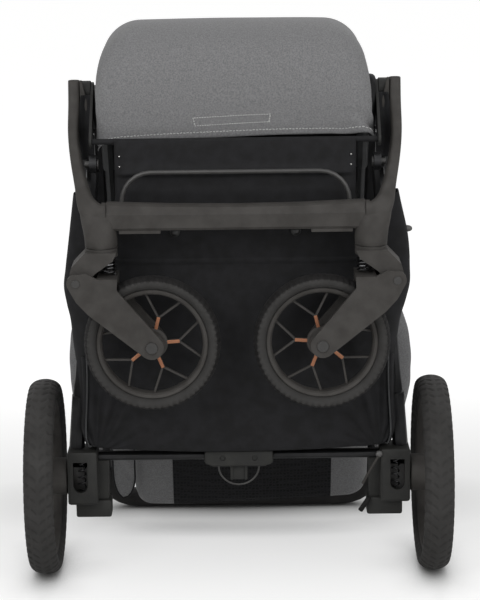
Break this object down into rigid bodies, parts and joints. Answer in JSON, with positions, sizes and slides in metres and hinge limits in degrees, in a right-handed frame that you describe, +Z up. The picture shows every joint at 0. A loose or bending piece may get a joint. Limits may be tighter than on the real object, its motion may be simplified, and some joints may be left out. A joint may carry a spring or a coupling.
{
  "type": "pushchair",
  "caption": "Folded pushchair standing on its rear wheels and push handle, with swivel casters, fabric hood, basket and backrest; unfolds on coupled hinges.",
  "frame": {"origin": "on the floor under the middle of the folded chair", "axes": "+X across the chair, -Y towards the front casters, +Z up"},
  "size_m": [0.597, 0.4657, 0.7949],
  "materials": {
    "axle_bracket_l": "fine moulded texture",
    "axle_bracket_r": "fine moulded texture",
    "backrest": "grey melange cloth",
    "basket": "black woven cloth",
    "brake_guard": "black satin paint",
    "brake_housing": "fine moulded texture",
    "brake_pedal": "fine moulded texture",
    "caster_head_l": "fine moulded texture",
    "caster_head_r": "fine moulded texture",
    "caster_socket_l": "fine moulded texture",
    "caster_socket_r": "fine moulded texture",
    "caster_spring_l": "bright wire",
    "caster_spring_r": "bright wire",
    "crossbar": "fine moulded texture",
    "fork_l": "fine moulded texture",
    "fork_pin_l": "black satin paint",
    "fork_pin_r": "black satin paint",
    "fork_r": "fine moulded texture",
    "front_arm_l": "fine moulded texture",
    "front_arm_r": "fine moulded texture",
    "front_axle_l": "black satin paint",
    "front_axle_r": "black satin paint",
    "front_rim_l": "fine moulded texture",
    "front_rim_r": "fine moulded texture",
    "front_tyre_l": "matt rubber",
    "front_tyre_r": "matt rubber",
    "handle_bolt_l": "black satin paint",
    "handle_bolt_r": "black satin paint",
    "handle_grip": "matt foam",
    "handle_knuckle_l": "fine moulded texture",
    "handle_knuckle_r": "fine moulded texture",
    "handle_tube_l": "dark anodised satin",
    "handle_tube_r": "dark anodised satin",
    "hood": "grey melange cloth",
    "hood_leg_l": "dark anodised satin",
    "hood_leg_r": "dark anodised satin",
    "leg_pin_l": "black satin paint",
    "leg_pin_r": "black satin paint",
    "rear_axle_l": "dark anodised satin",
    "rear_axle_r": "dark anodised satin",
    "rear_hub_cap_l": "fine moulded texture",
    "rear_hub_cap_r": "fine moulded texture",
    "rear_leg_l": "dark anodised satin",
    "rear_leg_r": "dark anodised satin",
    "rear_rim_l": "fine moulded texture",
    "rear_rim_r": "fine moulded texture",
    "rear_spring_l": "bright wire",
    "rear_spring_r": "bright wire",
    "rear_tyre_l": "matt rubber",
    "rear_tyre_r": "matt rubber",
    "seat_bracket_l": "fine moulded texture",
    "seat_bracket_r": "fine moulded texture",
    "seat_pan": "padded board in black woven cloth",
    "spoke_clips_l": "copper-coloured",
    "spoke_clips_r": "copper-coloured",
    "wheel_carrier_l": "black satin paint",
    "wheel_carrier_r": "black satin paint",
    "wire_bow": "black satin paint"
  },
  "bodies": {
    "front_frame": {"crossbar": "crossbar", "wire_bow": "wire_bow", "front_arm_l": "front_arm_l", "caster_socket_l": "caster_socket_l", "seat_bracket_l": "seat_bracket_l", "handle_bolt_l": "handle_bolt_l", "leg_pin_l": "leg_pin_l", "front_arm_r": "front_arm_r", "caster_socket_r": "caster_socket_r", "seat_bracket_r": "seat_bracket_r", "handle_bolt_r": "handle_bolt_r", "leg_pin_r": "leg_pin_r"},
    "rear_frame": {"rear_leg_l": "rear_leg_l", "axle_bracket_l": "axle_bracket_l", "rear_axle_l": "rear_axle_l", "rear_spring_l": "rear_spring_l", "rear_leg_r": "rear_leg_r", "axle_bracket_r": "axle_bracket_r", "rear_axle_r": "rear_axle_r", "rear_spring_r": "rear_spring_r", "brake_housing": "brake_housing", "brake_guard": "brake_guard", "basket": "basket"},
    "handle": {"handle_knuckle_l": "handle_knuckle_l", "handle_tube_l": "handle_tube_l", "handle_knuckle_r": "handle_knuckle_r", "handle_tube_r": "handle_tube_r", "handle_grip": "handle_grip", "backrest": "backrest"},
    "hood": {"hood_leg_l": "hood_leg_l", "hood_leg_r": "hood_leg_r", "hood": "hood"},
    "seat_pan": {"seat_pan": "seat_pan"},
    "brake_pedal": {"brake_pedal": "brake_pedal"},
    "rear_carrier_l": {"wheel_carrier_l": "wheel_carrier_l"},
    "rear_wheel_l": {"rear_tyre_l": "rear_tyre_l", "rear_rim_l": "rear_rim_l", "rear_hub_cap_l": "rear_hub_cap_l"},
    "caster_l": {"caster_head_l": "caster_head_l", "caster_spring_l": "caster_spring_l"},
    "fork_l": {"fork_l": "fork_l", "fork_pin_l": "fork_pin_l", "front_axle_l": "front_axle_l"},
    "front_wheel_l": {"front_tyre_l": "front_tyre_l", "front_rim_l": "front_rim_l", "spoke_clips_l": "spoke_clips_l"},
    "rear_carrier_r": {"wheel_carrier_r": "wheel_carrier_r"},
    "rear_wheel_r": {"rear_tyre_r": "rear_tyre_r", "rear_rim_r": "rear_rim_r", "rear_hub_cap_r": "rear_hub_cap_r"},
    "caster_r": {"caster_head_r": "caster_head_r", "caster_spring_r": "caster_spring_r"},
    "fork_r": {"fork_r": "fork_r", "fork_pin_r": "fork_pin_r", "front_axle_r": "front_axle_r"},
    "front_wheel_r": {"front_tyre_r": "front_tyre_r", "front_rim_r": "front_rim_r", "spoke_clips_r": "spoke_clips_r"}
  },
  "joints": [
    {"name": "rear_fold", "type": "hinge", "parent": "front_frame", "child": "rear_frame", "pos_m": [0, -0.134, 0.6], "axis": [1, 0, 0], "range_deg": [0, 59]},
    {"name": "handle_fold", "type": "hinge", "parent": "front_frame", "child": "handle", "pos_m": [0, -0.067, 0.693], "axis": [1, 0, 0], "range_deg": [0, 122.2]},
    {"name": "seat_pan_fold", "type": "hinge", "parent": "front_frame", "child": "seat_pan", "pos_m": [0, -0.14, 0.632], "axis": [1, 0, 0], "range_deg": [0, 88.6]},
    {"name": "hood_swing", "type": "hinge", "parent": "handle", "child": "hood", "pos_m": [0, 0.04925, 0.41644], "axis": [1, 0, 0], "range_deg": [-108, 0]},
    {"name": "brake_pedal_swing", "type": "hinge", "parent": "rear_frame", "child": "brake_pedal", "pos_m": [0, -0.095, 0.1565], "axis": [1, 0, 0], "range_deg": [0, 20]},
    {"name": "caster_swivel_l", "type": "hinge", "parent": "front_frame", "child": "caster_l", "pos_m": [-0.183, -0.197, 0.496], "axis": [0, 0, -1], "range_deg": [0, 180]},
    {"name": "fork_suspension_l", "type": "hinge", "parent": "caster_l", "child": "fork_l", "pos_m": [-0.217, -0.197, 0.452], "axis": [0, -1, 0], "range_deg": [0, 6], "stiffness_Nm_per_rad": 40, "springref_deg": -6.88, "deforming": ["caster_spring_l"]},
    {"name": "front_wheel_spin_l", "type": "hinge", "parent": "fork_l", "child": "front_wheel_l", "pos_m": [-0.116, -0.197, 0.362], "axis": [0, 1, 0], "continuous": true},
    {"name": "rear_suspension_l", "type": "slide", "parent": "rear_frame", "child": "rear_carrier_l", "axis": [0, 0, 1], "range_m": [0, 0.012], "stiffness_N_per_m": 8000, "springref_m": -0.012, "deforming": ["rear_spring_l"]},
    {"name": "rear_wheel_spin_l", "type": "hinge", "parent": "rear_carrier_l", "child": "rear_wheel_l", "pos_m": [-0.278, -0.082, 0.14], "axis": [1, 0, 0], "continuous": true},
    {"name": "caster_swivel_r", "type": "hinge", "parent": "front_frame", "child": "caster_r", "pos_m": [0.183, -0.197, 0.496], "axis": [0, 0, 1], "range_deg": [0, 180]},
    {"name": "fork_suspension_r", "type": "hinge", "parent": "caster_r", "child": "fork_r", "pos_m": [0.217, -0.197, 0.452], "axis": [0, 1, 0], "range_deg": [0, 6], "stiffness_Nm_per_rad": 40, "springref_deg": -6.88, "deforming": ["caster_spring_r"]},
    {"name": "front_wheel_spin_r", "type": "hinge", "parent": "fork_r", "child": "front_wheel_r", "pos_m": [0.116, -0.197, 0.362], "axis": [0, 1, 0], "continuous": true},
    {"name": "rear_suspension_r", "type": "slide", "parent": "rear_frame", "child": "rear_carrier_r", "axis": [0, 0, 1], "range_m": [0, 0.012], "stiffness_N_per_m": 8000, "springref_m": -0.012, "deforming": ["rear_spring_r"]},
    {"name": "rear_wheel_spin_r", "type": "hinge", "parent": "rear_carrier_r", "child": "rear_wheel_r", "pos_m": [0.278, -0.082, 0.14], "axis": [1, 0, 0], "continuous": true}
  ],
  "couplings": [
    {"joint": "handle_fold", "follows": "rear_fold", "ratio": 2.07},
    {"joint": "seat_pan_fold", "follows": "rear_fold", "ratio": 1.5},
    {"joint": "hood_swing", "follows": "rear_fold", "ratio": -1.83}
  ]
}
